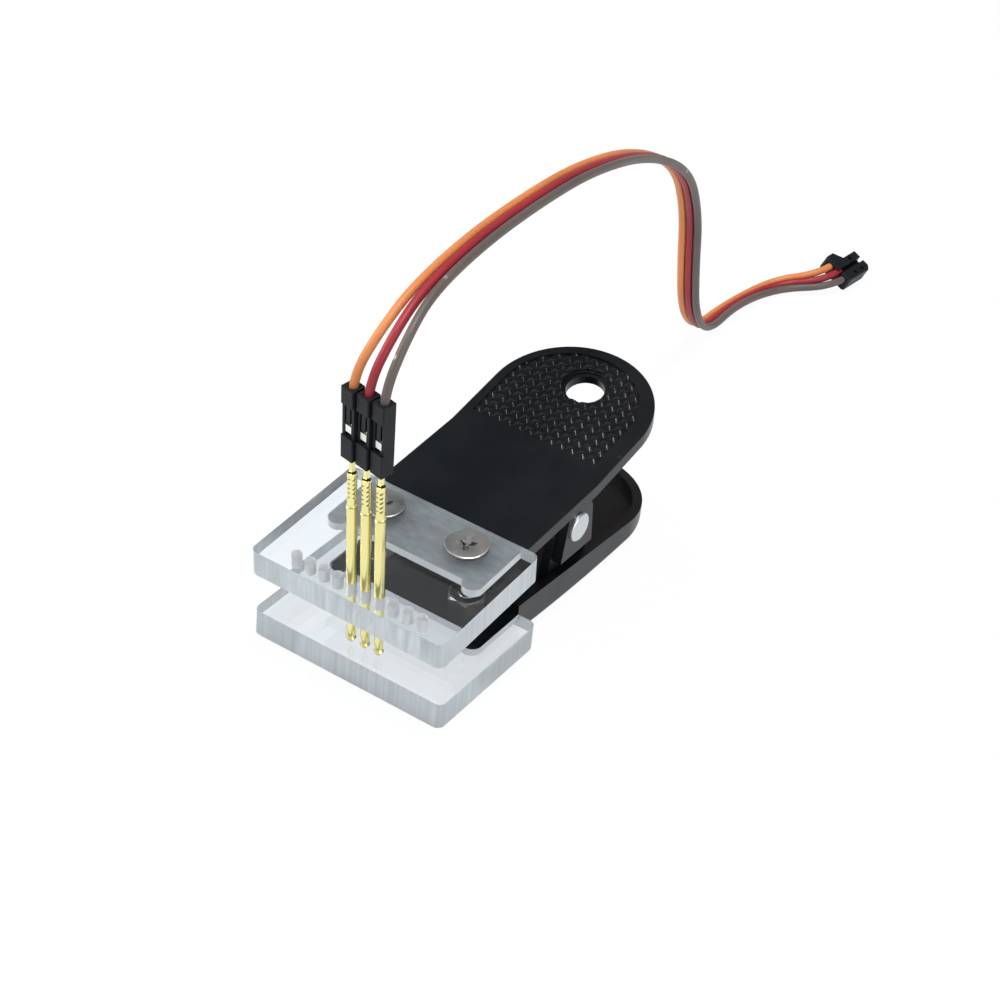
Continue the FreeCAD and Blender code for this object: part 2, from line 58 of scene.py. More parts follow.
LOWER = "lower_half"
UPPER_LEAN = 4.15
PLATE_FRONT_Y = -34.9892
UPPER_FRONT_Y = -35.9892
LOWER_INNER_Z = 5.5
UPPER_INNER_Z = 13.1
PLATE_THICKNESS = 4.5
PROBE_X = (-1.27, 1.27, 3.81)
HOLE_ROW_Y = 3.5
SCREW_X = 7.75
SCREW_Y = 19.9
NOISE_LOW = 0.3
NOISE_HIGH = 0.7
EVEN = (1.0, 1.0, 1.0)
WHITE = (1.0, 1.0, 1.0, 1.0)

Point = tuple[float, float, float]
Flat = tuple[float, float]
Nodes = dict[str, bpy.types.Object]
Socket = bpy.types.NodeSocket
Value = Socket | float | Sequence[float]


def upper_frame() -> Matrix:
    """Return the matrix from the upper plate's own frame, in mm, to the scene."""
    lean = Matrix.Rotation(math.radians(UPPER_LEAN), 4, "X")
    place = Matrix.Translation((0.0, UPPER_FRONT_Y * MM, UPPER_INNER_Z * MM))
    return place @ lean @ Matrix.Scale(MM, 4)


def lower_frame() -> Matrix:
    """Return the matrix from the lower plate's own frame, in mm, to the scene."""
    turn = Matrix.Rotation(math.pi, 4, "Y")
    place = Matrix.Translation((0.0, PLATE_FRONT_Y * MM, LOWER_INNER_Z * MM))
    return place @ turn @ Matrix.Scale(MM, 4)


class Net:
    """A node tree with short calls for adding and joining nodes."""

    def __init__(self, tree: bpy.types.NodeTree) -> None:
        """Wrap a tree."""
        self.tree = tree

    def put(self, value: Value, end: Socket) -> None:
        """Join an output to an input, or set the input's own value.

        Args:
            value: The output, or a number, vector or colour.
            end: The input.
        """
        if isinstance(value, Socket):
            self.tree.links.new(value, end)
        else:
            end.default_value = value

    def fill(self, node: bpy.types.Node, values: dict[str, Value]) -> bpy.types.Node:
        """Set or join a node's inputs by name.

        Args:
            node: The node.
            values: Input names, with underscores for spaces, and what goes into them.

        Returns:
            The same node.
        """
        for name, value in values.items():
            self.put(value, node.inputs[name.replace("_", " ")])
        return node

    def add(self, kind: str, **values: Value) -> bpy.types.Node:
        """Add a node and fill its inputs."""
        return self.fill(self.tree.nodes.new(kind), values)

    def first(self, kind: str, **values: Value) -> Socket:
        """Add a node, fill its inputs and return its first output."""
        return self.add(kind, **values).outputs[0]

    def math(self, what: str, a: Value, b: Value, kind: str = "ShaderNodeMath") -> Socket:
        """Add a math node.

        Args:
            what: The operation's name.
            a: First value or socket.
            b: Second value or socket.
            kind: The node's type name, for numbers or for vectors.

        Returns:
            The result's socket.
        """
        node = self.add(kind)
        node.operation = what
        self.put(a, node.inputs[0])
        self.put(b, node.inputs[1])
        return node.outputs[0]

    def noise(self, place: Socket, scale: Socket, detail: float, roughness: float) -> Socket:
        """Add a noise texture.

        Args:
            place: Its coordinates.
            scale: Its scale.
            detail: Its detail.
            roughness: Its roughness.

        Returns:
            The noise's value.
        """
        return self.first("ShaderNodeTexNoise", Vector=place, Scale=scale,
                          Detail=detail, Roughness=roughness)

    def group(self, tree: bpy.types.NodeTree, **values: Value) -> bpy.types.NodeOutputs:
        """Place a shared group with its own values.

        Args:
            tree: The group's tree.
            values: Input names and what goes into them.

        Returns:
            The group's outputs.
        """
        node = self.add("ShaderNodeGroup")
        node.node_tree = tree
        return self.fill(node, values).outputs

    def blend(self, mask: Socket, low: Socket | Point, high: Point) -> Socket:
        """Mix two colours by a mask.

        Args:
            mask: The socket that drives the mix.
            low: The colour where the mask is 0.
            high: The colour where it is 1.

        Returns:
            The mixed colour's socket.
        """
        mix = self.add("ShaderNodeMix")
        mix.data_type = "RGBA"
        self.put(mask, mix.inputs[0])
        self.put(low if isinstance(low, Socket) else (*low, 1.0), mix.inputs[6])
        self.put((*high, 1.0), mix.inputs[7])
        return mix.outputs[2]

    def mix(self, share: Socket, one: Socket, other: Socket) -> Socket:
        """Mix two shaders.

        Args:
            share: The other shader's share.
            one: The first shader.
            other: The other shader.

        Returns:
            The mixed shader's socket.
        """
        node = self.add("ShaderNodeMixShader")
        for value, end in zip((share, one, other), node.inputs):
            self.put(value, end)
        return node.outputs[0]

    def soft_step(self, value: Socket, start: Flat, ends: Flat) -> Socket:
        """Map a value smoothly from one range to another.

        Args:
            value: The value's socket.
            start: The range it comes from.
            ends: What the range's two ends become.

        Returns:
            The mapped value's socket.
        """
        node = self.add("ShaderNodeMapRange", Value=value, From_Min=start[0], From_Max=start[1],
                        To_Min=ends[0], To_Max=ends[1])
        node.interpolation_type = "SMOOTHSTEP"
        return node.outputs[0]


class GroupNet(Net):
    """A shader node group with named inputs and outputs, over object coordinates."""

    def __init__(self, name: str, inputs: dict[str, float | Point], outputs: Sequence[str]) -> None:
        """Make the group and its sockets.

        Args:
            name: The group's name.
            inputs: Input names and their defaults, numbers or vectors.
            outputs: Names of the outputs, which are numbers.
        """
        super().__init__(bpy.data.node_groups.new(name, "ShaderNodeTree"))
        for key, value in inputs.items():
            kind = "NodeSocketFloat" if isinstance(value, float) else "NodeSocketVector"
            socket = self.tree.interface.new_socket(key, in_out="INPUT", socket_type=kind)
            socket.default_value = value
        for key in outputs:
            self.tree.interface.new_socket(key, in_out="OUTPUT", socket_type="NodeSocketFloat")
        self.given = self.add("NodeGroupInput").outputs
        self.result = self.add("NodeGroupOutput").inputs
        self.place = self.add("ShaderNodeTexCoord").outputs["Object"]

    def spread(self, noise: Socket) -> Socket:
        """Return a noise with its usual range spread from the group's Low to its High."""
        return self.first("ShaderNodeMapRange", Value=noise, From_Min=NOISE_LOW, From_Max=NOISE_HIGH,
                          To_Min=self.given["Low"], To_Max=self.given["High"])


def moulded_grain() -> bpy.types.NodeTree:
    """Return the group for moulded grain: a broad value and a fine height."""
    net = GroupNet("moulded grain", {"Scale": 2000.0, "Low": 0.3, "High": 0.5}, ("Value", "Height"))
    fine = net.noise(net.place, net.given["Scale"], detail=3.0, roughness=0.6)
    broad_scale = net.math("MULTIPLY", net.given["Scale"], 0.06)
    broad = net.noise(net.place, broad_scale, detail=4.0, roughness=0.55)
    net.put(net.spread(broad), net.result["Value"])
    net.put(fine, net.result["Height"])
    return net.tree


def cutter_streaks() -> bpy.types.NodeTree:
    """Return the group for cutter streaks: noise drawn out along one axis."""
    inputs = {"Stretch": EVEN, "Scale": 400.0, "Low": 0.0, "High": 1.0}
    net = GroupNet("cutter streaks", inputs, ("Value", "Height"))
    drawn = net.math("MULTIPLY", net.place, net.given["Stretch"], "ShaderNodeVectorMath")
    noise = net.noise(drawn, net.given["Scale"], detail=5.0, roughness=0.6)
    net.put(net.spread(noise), net.result["Value"])
    net.put(noise, net.result["Height"])
    return net.tree


def dust_specks() -> bpy.types.NodeTree:
    """Return the group for sparse dust and scuffs: a mask of small dots in a few places."""
    net = GroupNet("dust specks", {"Scale": 900.0, "Amount": 0.5}, ("Mask",))
    cells = net.first("ShaderNodeTexVoronoi", Vector=net.place, Scale=net.given["Scale"])
    dots = net.first("ShaderNodeMapRange", Value=cells, From_Min=0.22, From_Max=0.08)
    rare_scale = net.math("MULTIPLY", net.given["Scale"], 0.37)
    rare = net.noise(net.place, rare_scale, detail=2.0, roughness=0.5)
    gate = net.first("ShaderNodeMapRange", Value=rare, From_Min=0.6, From_Max=0.7)
    gated = net.math("MULTIPLY", dots, gate)
    net.put(net.math("MULTIPLY", gated, net.given["Amount"]), net.result["Mask"])
    return net.tree


@dataclass(frozen=True)
class Groups:
    """The shared shader node groups, each built once and placed in many materials."""

    grain: bpy.types.NodeTree = field(default_factory=moulded_grain)
    streaks: bpy.types.NodeTree = field(default_factory=cutter_streaks)
    specks: bpy.types.NodeTree = field(default_factory=dust_specks)


class Surface(Net):
    """A material's node tree round one Principled shader."""

    def __init__(self, name: str) -> None:
        """Make the material.

        Args:
            name: The material's name.
        """
        self.material = bpy.data.materials.new(name)
        self.material.use_nodes = True
        super().__init__(self.material.node_tree)
        self.shader = self.tree.nodes["Principled BSDF"]

    def emboss(self, height: Socket, distance: float, strength: float) -> None:
        """Give the surface relief.

        Args:
            height: The height's socket.
            distance: Height of the relief in metres.
            strength: Share of it that is used.
        """
        bump = self.first("ShaderNodeBump", Height=height, Distance=distance, Strength=strength)
        self.put(bump, self.shader.inputs["Normal"])

    def finish(self, **values: Value) -> bpy.types.Material:
        """Fill the shader's inputs and return the material."""
        self.fill(self.shader, values)
        return self.material


@dataclass(frozen=True)
class MouldedPlastic:
    """Injection moulded plastic with a fine grain, a little dust and soft sheen."""

    name: str
    colour: Point
    pale: Point
    rough_low: float
    rough_high: float
    specular: float
    dust: float = 0.0
    dust_scale: float = 430.0
    grain_scale: float = 2600.0
    relief: float = 0.000012
    relief_share: float = 0.5

    def build(self, groups: Groups) -> bpy.types.Material:
        """Make the material.

        Args:
            groups: The shared node groups.

        Returns:
            The finished material.
        """
        net = Surface(self.name)
        grain = net.group(groups.grain, Scale=self.grain_scale, Low=self.rough_low, High=self.rough_high)
        specks = net.group(groups.specks, Scale=self.dust_scale, Amount=self.dust)
        net.emboss(grain["Height"], self.relief, self.relief_share)
        return net.finish(Base_Color=net.blend(specks["Mask"], self.colour, self.pale),
                          Roughness=grain["Value"], Specular_IOR_Level=self.specular)


@dataclass(frozen=True)
class PlatedMetal:
    """Plated or drawn metal with fine streaks and tarnish."""

    name: str
    colour: Point
    shade: Point
    rough_low: float
    rough_high: float
    stretch: Point = (1.0, 1.0, 0.05)
    scale: float = 1500.0
    tarnish: float = 1.7
    relief: float = 0.000004
    relief_share: float = 0.35

    def build(self, groups: Groups) -> bpy.types.Material:
        """Make the material.

        Args:
            groups: The shared node groups.

        Returns:
            The finished material.
        """
        net = Surface(self.name)
        drawn = net.group(groups.streaks, Stretch=self.stretch, Scale=self.scale,
                          Low=self.rough_low, High=self.rough_high)
        grain = net.group(groups.grain, Scale=self.scale * self.tarnish, Low=0.0, High=1.0)
        net.emboss(drawn["Height"], self.relief, self.relief_share)
        return net.finish(Base_Color=net.blend(grain["Value"], self.colour, self.shade),
                          Roughness=drawn["Value"], Metallic=1.0)


@dataclass(frozen=True)
class WireSleeve:
    """Soft extruded insulation with slight waviness and scuffs."""

    name: str
    colour: Point
    deep: Point
    scuff: Point
    scuffs: float = 0.0
    scuff_scale: float = 420.0
    tint_scale: float = 1400.0
    wave_scale: float = 900.0
    rough_low: float = 0.38
    rough_high: float = 0.52
    specular: float = 0.4
    relief: float = 0.00001
    relief_share: float = 0.4

    def build(self, groups: Groups) -> bpy.types.Material:
        """Make the material.

        Args:
            groups: The shared node groups.

        Returns:
            The finished material.
        """
        net = Surface(self.name)
        tint = net.group(groups.grain, Scale=self.tint_scale, Low=0.0, High=1.0)
        wave = net.group(groups.grain, Scale=self.wave_scale, Low=self.rough_low, High=self.rough_high)
        specks = net.group(groups.specks, Scale=self.scuff_scale, Amount=self.scuffs)
        base = net.blend(tint["Value"], self.colour, self.deep)
        net.emboss(wave["Height"], self.relief, self.relief_share)
        return net.finish(Base_Color=net.blend(specks["Mask"], base, self.scuff),
                          Roughness=wave["Value"], Specular_IOR_Level=self.specular)


@dataclass(frozen=True)
class ClearSheet:
    """A face of the clear plates: polished, sawn, milled or drilled."""

    name: str
    colour: Point
    shade: Point
    rough_low: float
    rough_high: float
    transmission: float
    stretch: Point
    scale: float
    relief: float
    relief_share: float = 0.6
    rough_scale: float = 0.6
    ior: float = 1.49

    def build(self, groups: Groups) -> bpy.types.Material:
        """Make the material.

        Args:
            groups: The shared node groups.

        Returns:
            The finished material.
        """
        net = Surface(self.name)
        cut = net.group(groups.streaks, Stretch=self.stretch, Scale=self.scale, Low=0.0, High=1.0)
        rough = net.group(groups.streaks, Stretch=self.stretch, Scale=self.scale * self.rough_scale,
                          Low=self.rough_low, High=self.rough_high)
        if self.relief > 0.0:
            net.emboss(cut["Height"], self.relief, self.relief_share)
        return net.finish(Base_Color=net.blend(cut["Value"], self.colour, self.shade),
                          Roughness=rough["Value"], Transmission_Weight=self.transmission, IOR=self.ior)


@dataclass(frozen=True)
class Finishes:
    """All materials of the clip, by what they are on."""

    lever: bpy.types.Material
    grip: bpy.types.Material
    connector: bpy.types.Material
    nickel: bpy.types.Material
    nut: bpy.types.Material
    pin: bpy.types.Material
    spring: bpy.types.Material
    gold: bpy.types.Material
    tin: bpy.types.Material
    painted_shade: bpy.types.Material
    polished: bpy.types.Material
    sawn: bpy.types.Material
    milled: bpy.types.Material
    drilled: bpy.types.Material
    wall: bpy.types.Material
    orange: bpy.types.Material
    red: bpy.types.Material
    brown: bpy.types.Material


def make_finishes(groups: Groups) -> Finishes:
    """Build every material once.

    Args:
        groups: The shared node groups.

    Returns:
        The set of materials.
    """
    dust = (0.07, 0.07, 0.075)
    recipes = {
        "lever": MouldedPlastic("lever plastic", (0.0052, 0.0066, 0.0084), dust, 0.27, 0.36, 0.26, 0.3),
        "grip": MouldedPlastic("grip plastic", (0.005, 0.0062, 0.0075), dust, 0.17, 0.24, 0.3, 0.2),
        "connector": MouldedPlastic("connector plastic", (0.008, 0.0095, 0.011), dust, 0.38, 0.52, 0.16),
        "nickel": PlatedMetal("nickel plating", (0.7, 0.705, 0.685), (0.62, 0.625, 0.605),
                              0.26, 0.38, EVEN, 300.0),
        # The nuts' own steel, also used as painted shade in the screws' recesses and on their heads'
        # sides.
        "nut": PlatedMetal("nut steel and screw shade", (0.24, 0.23, 0.22), (0.17, 0.16, 0.15), 0.25, 0.38, EVEN, 500.0),
        "pin": PlatedMetal("pin steel", (0.64, 0.66, 0.67), (0.58, 0.6, 0.61),
                           0.34, 0.48, (1.0, 0.15, 1.0), 1200.0),
        "spring": PlatedMetal("spring steel", (0.42, 0.42, 0.43), (0.33, 0.33, 0.34), 0.25, 0.4),
        "gold": PlatedMetal("gold plating", (0.84, 0.77, 0.36), (0.8, 0.72, 0.31),
                            0.14, 0.24, (1.0, 1.0, 0.06), 900.0),
        "tin": PlatedMetal("tin plating", (0.9, 0.9, 0.9), (0.82, 0.82, 0.82), 0.35, 0.5),
        # Painted shade: the dark metal for the crimp dents and the plungers' shoulders.
        "painted_shade": PlatedMetal("crimp shadow", (0.16, 0.13, 0.04), (0.1, 0.08, 0.03), 0.4, 0.5),
        "polished": ClearSheet("polished acrylic", (0.89, 0.927, 0.955), (0.885, 0.922, 0.95),
                               0.0, 0.02, 1.0, EVEN, 60.0, 0.0),
        "sawn": ClearSheet("sawn acrylic", (0.73, 0.77, 0.79), (0.54, 0.578, 0.6),
                           0.3, 0.5, 0.62, (1.0, 1.0, 0.03), 1700.0, 0.000015),
        "milled": ClearSheet("milled acrylic", (0.7, 0.75, 0.78), (0.42, 0.46, 0.49),
                             0.4, 0.55, 0.6, (0.5, 1.0, 1.0), 900.0, 0.00001),
        "drilled": ClearSheet("drilled acrylic", (0.99, 0.99, 0.99), (0.94, 0.95, 0.96),
                              0.4, 0.6, 0.36, (1.0, 1.0, 0.3), 900.0, 0.000008),
        "wall": ClearSheet("milled wall", (0.99, 0.99, 0.99), (0.94, 0.95, 0.96),
                           0.35, 0.5, 0.24, (1.0, 1.0, 0.1), 600.0, 0.000008),
        "orange": WireSleeve("orange sleeve", (0.62, 0.215, 0.068), (0.52, 0.17, 0.052), (0.8, 0.5, 0.3)),
        "red": WireSleeve("red sleeve", (0.31, 0.016, 0.026), (0.24, 0.012, 0.02), (0.6, 0.25, 0.25)),
        "brown": WireSleeve("brown sleeve", (0.11, 0.085, 0.075), (0.085, 0.066, 0.058),
                            (0.5, 0.46, 0.43), 0.8),
    }
    return Finishes(**{name: recipe.build(groups) for name, recipe in recipes.items()})


def linked(name: str, data: bpy.types.ID) -> bpy.types.Object:
    """Make an object and link it to the scene.

    Args:
        name: The object's name.
        data: Its mesh, curve, lamp or camera.

    Returns:
        The new object.
    """
    obj = bpy.data.objects.new(name, data)
    bpy.context.scene.collection.objects.link(obj)
    return obj


def bare_mesh(name: str, verts: Sequence[Point], faces: Sequence[Sequence[int]]) -> bpy.types.Mesh:
    """Make a mesh.

    Args:
        name: The mesh's name.
        verts: Its points.
        faces: Point numbers of each face.

    Returns:
        The new mesh.
    """
    mesh = bpy.data.meshes.new(name)
    mesh.from_pydata(verts, [], faces)
    return mesh


def shade(mesh: bpy.types.Mesh, angle: float) -> None:
    """Shade a mesh smoothly and keep edges above an angle, in degrees, sharp."""
    mesh.polygons.foreach_set("use_smooth", [True] * len(mesh.polygons))
    mesh.set_sharp_from_angle(angle=math.radians(angle))


def new_piece(name: str, mesh: bpy.types.Mesh, materials: Sequence[bpy.types.Material],
              smooth_angle: float) -> bpy.types.Object:
    """Give a mesh its materials and shading and put it in the scene.

    Args:
        name: The piece's name.
        mesh: The mesh.
        materials: The piece's materials.
        smooth_angle: Edges above this angle stay sharp, in degrees.

    Returns:
        The new object.
    """
    for material in materials:
        mesh.materials.append(material)
    shade(mesh, smooth_angle)
    return linked(name, mesh)


def arc(centre: Flat, r: float, sweep: float, steps: int, count: int) -> list[Flat]:
    """Return points along an arc that starts to the right of its centre.

    Args:
        centre: The arc's centre.
        r: Its radius.
        sweep: The angle of all its steps in radians, counted to the left.
        steps: How many steps the sweep has.
        count: How many points are wanted.

    Returns:
        The points.
    """
    x, y = centre
    turns = [sweep * k / steps for k in range(count)]
    return [(x + r * math.cos(turn), y + r * math.sin(turn)) for turn in turns]


def lathe(profile: Sequence[Flat], segments: int) -> tuple[list[Point], list[list[int]]]:
    """Turn a profile about Z.

    Args:
        profile: Radius and height of each ring, from one end to the other.
        segments: Points round each ring.

    Returns:
        Points and faces, closed at rings of no radius.
    """
    verts: list[Point] = []
    rings: list[list[int]] = []
    for radius, height in profile:
        start = len(verts)
        if radius < 1e-6:
            verts.append((0.0, 0.0, height))
        else:
            ring = arc((0.0, 0.0), radius, 2.0 * math.pi, segments, segments)
            verts += [(x, y, height) for x, y in ring]
        rings.append(list(range(start, len(verts))))
    faces: list[list[int]] = []
    for low, high in zip(rings, rings[1:]):
        for k in range(segments):
            n = (k + 1) % segments
            if len(low) == 1:
                faces.append([low[0], high[n], high[k]])
            elif len(high) == 1:
                faces.append([low[k], low[n], high[0]])
            else:
                faces.append([low[k], low[n], high[n], high[k]])
    return verts, faces


def turned_piece(name: str, shape: tuple[list[Point], list[list[int]]],
                 materials: Sequence[bpy.types.Material]) -> bpy.types.Object:
    """Put a turned shape in the scene.

    Args:
        name: The piece's name.
        shape: Points and faces.
        materials: The piece's materials.

    Returns:
        The new object, with edges above 40 degrees sharp.
    """
    mesh = bare_mesh(name, *shape)
    mesh.validate()
    return new_piece(name, mesh, materials, 40.0)


def prism(plan: Sequence[Flat], low: float, high: float) -> bpy.types.Mesh:
    """Return a closed upright block over an outline.

    Args:
        plan: The outline's points, counted to the left.
        low: Its lower height.
        high: Its upper height.

    Returns:
        The mesh.
    """
    count = len(plan)
    verts = [(x, y, low) for x, y in plan] + [(x, y, high) for x, y in plan]
    faces = [[(k + 1) % count + count, k + count, k, (k + 1) % count] for k in range(count)]
    faces.append(list(range(count - 1, -1, -1)))
    faces.append(list(range(count, 2 * count)))
    return bare_mesh("block", verts, faces)


def carve(target: bpy.types.Object, cutters: Sequence[bpy.types.Mesh], what: str = "DIFFERENCE") -> None:
    """Cut meshes out of a piece, or keep what they share with it.

    Args:
        target: The piece to cut.
        cutters: Closed meshes in the piece's own space.
        what: The boolean's operation.
    """
    for mesh in cutters:
        tool = linked("cutter", mesh)
        tool.matrix_world = target.matrix_world
        step = target.modifiers.new("cut", "BOOLEAN")
        step.operation = what
        step.solver = "EXACT"
        step.object = tool
        apply_all(target)
        bpy.data.objects.remove(tool)


def apply_all(obj: bpy.types.Object) -> None:
    """Replace a piece's mesh by the result of its modifiers.

    Args:
        obj: The piece.
    """
    graph = bpy.context.evaluated_depsgraph_get()
    done = bpy.data.meshes.new_from_object(obj.evaluated_get(graph), depsgraph=graph)
    obj.modifiers.clear()
    obj.data = done


def settle(obj: bpy.types.Object, body: str, slot: str, *replaced: str) -> None:
    """Put a finished piece on its body and hide the CAD nodes that it replaces.

    Args:
        obj: The piece.
        body: The CAD body it rides on.
        slot: Not used.
        replaced: CAD nodes that it replaces.
    """
    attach(obj, body)
    if replaced:
        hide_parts(*replaced)
    LOG.info("piece %s on %s", obj.name, body)


def copied_node(node: bpy.types.Object, name: str, materials: Sequence[bpy.types.Material],
                weld: float = 2e-6, flat: float = 0.5) -> bpy.types.Object:
    """Copy a CAD node's mesh into a piece, with its flat faces joined.

    Args:
        node: The CAD node.
        name: The new piece's name.
        materials: The piece's materials.
        weld: Points nearer than this are joined, in metres.
        flat: Faces that meet below this angle are joined, in degrees.

    Returns:
        The new object.
    """
    bm = bmesh.new()
    bm.from_mesh(node.data)
    bmesh.ops.remove_doubles(bm, verts=bm.verts, dist=weld)
    bmesh.ops.dissolve_limit(bm, angle_limit=math.radians(flat), verts=bm.verts, edges=bm.edges)
    bmesh.ops.recalc_face_normals(bm, faces=bm.faces)
    for face in bm.faces:
        face.material_index = 0
    mesh = bpy.data.meshes.new(name)
    bm.to_mesh(mesh)
    bm.free()
    if "custom_normal" in mesh.attributes:
        mesh.attributes.remove(mesh.attributes["custom_normal"])
    return new_piece(name, mesh, materials, 35.0)


def round_edges(obj: bpy.types.Object, width: float, angle: float = 30.0) -> None:
    """Round a piece's edges in two steps.

    Args:
        obj: The piece.
        width: Width of the rounding in metres.
        angle: Edges above this angle are rounded, in degrees.
    """
    step = obj.modifiers.new("edge", "BEVEL")
    step.width = width
    step.segments = 2
    step.limit_method = "ANGLE"
    step.angle_limit = math.radians(angle)
    step.face_strength_mode = "FSTR_ALL"
    apply_all(obj)


def flatten_light(obj: bpy.types.Object, angle: float = 45.0) -> None:
    """Shade a piece with rounded edges and keep its large faces flat to the light.

    Args:
        obj: The piece.
        angle: Edges above this angle stay sharp, in degrees.
    """
    shade(obj.data, angle)
    step = obj.modifiers.new("even", "WEIGHTED_NORMAL")
    step.keep_sharp = True
    step.weight = 100
    step.use_face_influence = True
    apply_all(obj)


@dataclass(frozen=True)
class SoftBox:
    """A soft lamp that faces a point."""

    name: str
    place: Point
    target: Point
    size: Flat
    watts: float

    def hang(self) -> None:
        """Put the lamp in the scene."""
        data = bpy.data.lights.new(self.name, "AREA")
        data.shape = "RECTANGLE"
        data.size, data.size_y = self.size
        data.energy = self.watts
        lamp = linked(self.name, data)
        lamp.location = self.place
        way = Vector(self.target) - Vector(self.place)
        lamp.rotation_euler = way.to_track_quat("-Z", "Y").to_euler()


@dataclass
class Studio:
    """Floor, lights, world and the camera at the photograph's angle."""

    camera_place: Point = (0.158197, -0.2591295, 0.236348)
    right: Point = (0.8213, 0.5642, 0.0841)
    up: Point = (-0.3905, 0.4486, 0.8038)
    focal_pixels: float = 2410.16
    frame_pixels: float = 1000.0
    floor_half: float = 1.6
    floor_z: float = -0.00008
    floor_tint: Point = (0.8, 0.85, 0.89)
    floor_seen: float = 0.95
    floor_in_plates: float = 0.4
    floor_gloss: float = 0.6
    room_tint: Point = (0.93, 0.965, 1.0)
    ceiling_from: Flat = (0.52, 0.6)
    wall_light: float = 0.85
    ceiling_light: float = 0.16
    behind_from: Flat = (0.2, 0.6)
    behind_share: float = 0.42
    lamps: tuple[SoftBox, ...] = (
        SoftBox("right box", (0.75, -0.15, 0.35), (0.0, 0.0, 0.02), (0.6, 0.5), 2.2),
        SoftBox("left box", (-0.7, -0.35, 0.55), (0.0, 0.0, 0.02), (0.5, 0.5), 6.0),
        SoftBox("top box", (0.04, 0.06, 1.1), (0.0, 0.04, 0.0), (0.26, 0.26), 9.5))

    def make_camera(self) -> None:
        """Place the camera that the photograph was taken with."""
        data = bpy.data.cameras.new("camera")
        data.sensor_width = 36.0
        data.lens = self.focal_pixels / self.frame_pixels * data.sensor_width
        data.clip_start = 0.01
        data.clip_end = 20.0
        camera = linked("camera", data)
        right = Vector(self.right).normalized()
        up = (Vector(self.up) - right * Vector(self.up).dot(right)).normalized()
        turn = Matrix((right, up, right.cross(up))).transposed().to_4x4()
        camera.matrix_world = Matrix.Translation(self.camera_place) @ turn
        bpy.context.scene.camera = camera

    def make_floor(self) -> None:
        """Lay the pale floor, which keeps shadows and lets the white room show through.

        The lower jaw swings below it when the clip opens, so the camera sees through it.
        """
        material = bpy.data.materials.new("pale floor")
        material.use_nodes = True
        net = Net(material.node_tree)
        net.tree.nodes.clear()
        path = net.add("ShaderNodeLightPath").outputs
        seen = net.math("MULTIPLY", path["Is Camera Ray"], self.floor_seen)
        gloss = net.math("MULTIPLY", path["Is Glossy Ray"], self.floor_gloss)
        glass = net.math("MULTIPLY", path["Is Transmission Ray"], self.floor_in_plates)
        paper = net.first("ShaderNodeBsdfDiffuse", Color=(*self.floor_tint, 1.0))
        glow = net.first("ShaderNodeEmission", Color=WHITE, Strength=1.0)
        clear = net.first("ShaderNodeBsdfTransparent")
        lit = net.mix(gloss, paper, glow)
        net.add("ShaderNodeOutputMaterial", Surface=net.mix(net.math("MAXIMUM", seen, glass), lit, clear))
        h = self.floor_half
        verts = [(x, y, self.floor_z) for x, y in ((-h, -h), (h, -h), (h, h), (-h, h))]
        floor = new_piece("floor", bare_mesh("floor", verts, [[0, 1, 2, 3]]), [material], 35.0)

    def make_world(self) -> None:
        """Give the room an even light and a white background."""
        world = bpy.data.worlds.new("room")
        bpy.context.scene.world = world
        world.use_nodes = True
        net = Net(world.node_tree)
        net.tree.nodes.clear()
        coords = net.add("ShaderNodeTexCoord")
        way = net.add("ShaderNodeSeparateXYZ", Vector=coords.outputs["Generated"]).outputs
        ceiling = net.soft_step(way["Z"], self.ceiling_from, (self.wall_light, self.ceiling_light))
        behind = net.soft_step(way["Y"], self.behind_from, (1.0, self.behind_share))
        room = net.first("ShaderNodeBackground", Color=(*self.room_tint, 1.0),
                         Strength=net.math("MULTIPLY", ceiling, behind))
        white = net.first("ShaderNodeBackground", Color=WHITE, Strength=1.0)
        path = net.add("ShaderNodeLightPath").outputs
        seen = net.math("MAXIMUM", path["Is Camera Ray"], path["Is Transmission Ray"])
        net.add("ShaderNodeOutputWorld", Surface=net.mix(seen, room, white))

    def build(self) -> None:
        """Make the whole studio."""
        self.make_camera()
        self.make_floor()
        self.make_world()
        for lamp in self.lamps:
            lamp.hang()
        bpy.context.scene.view_settings.view_transform = "Standard"


class WireColour(Enum):
    """The three wires, from left to right."""

    ORANGE = "orange"
    RED = "red"
    BROWN = "brown"


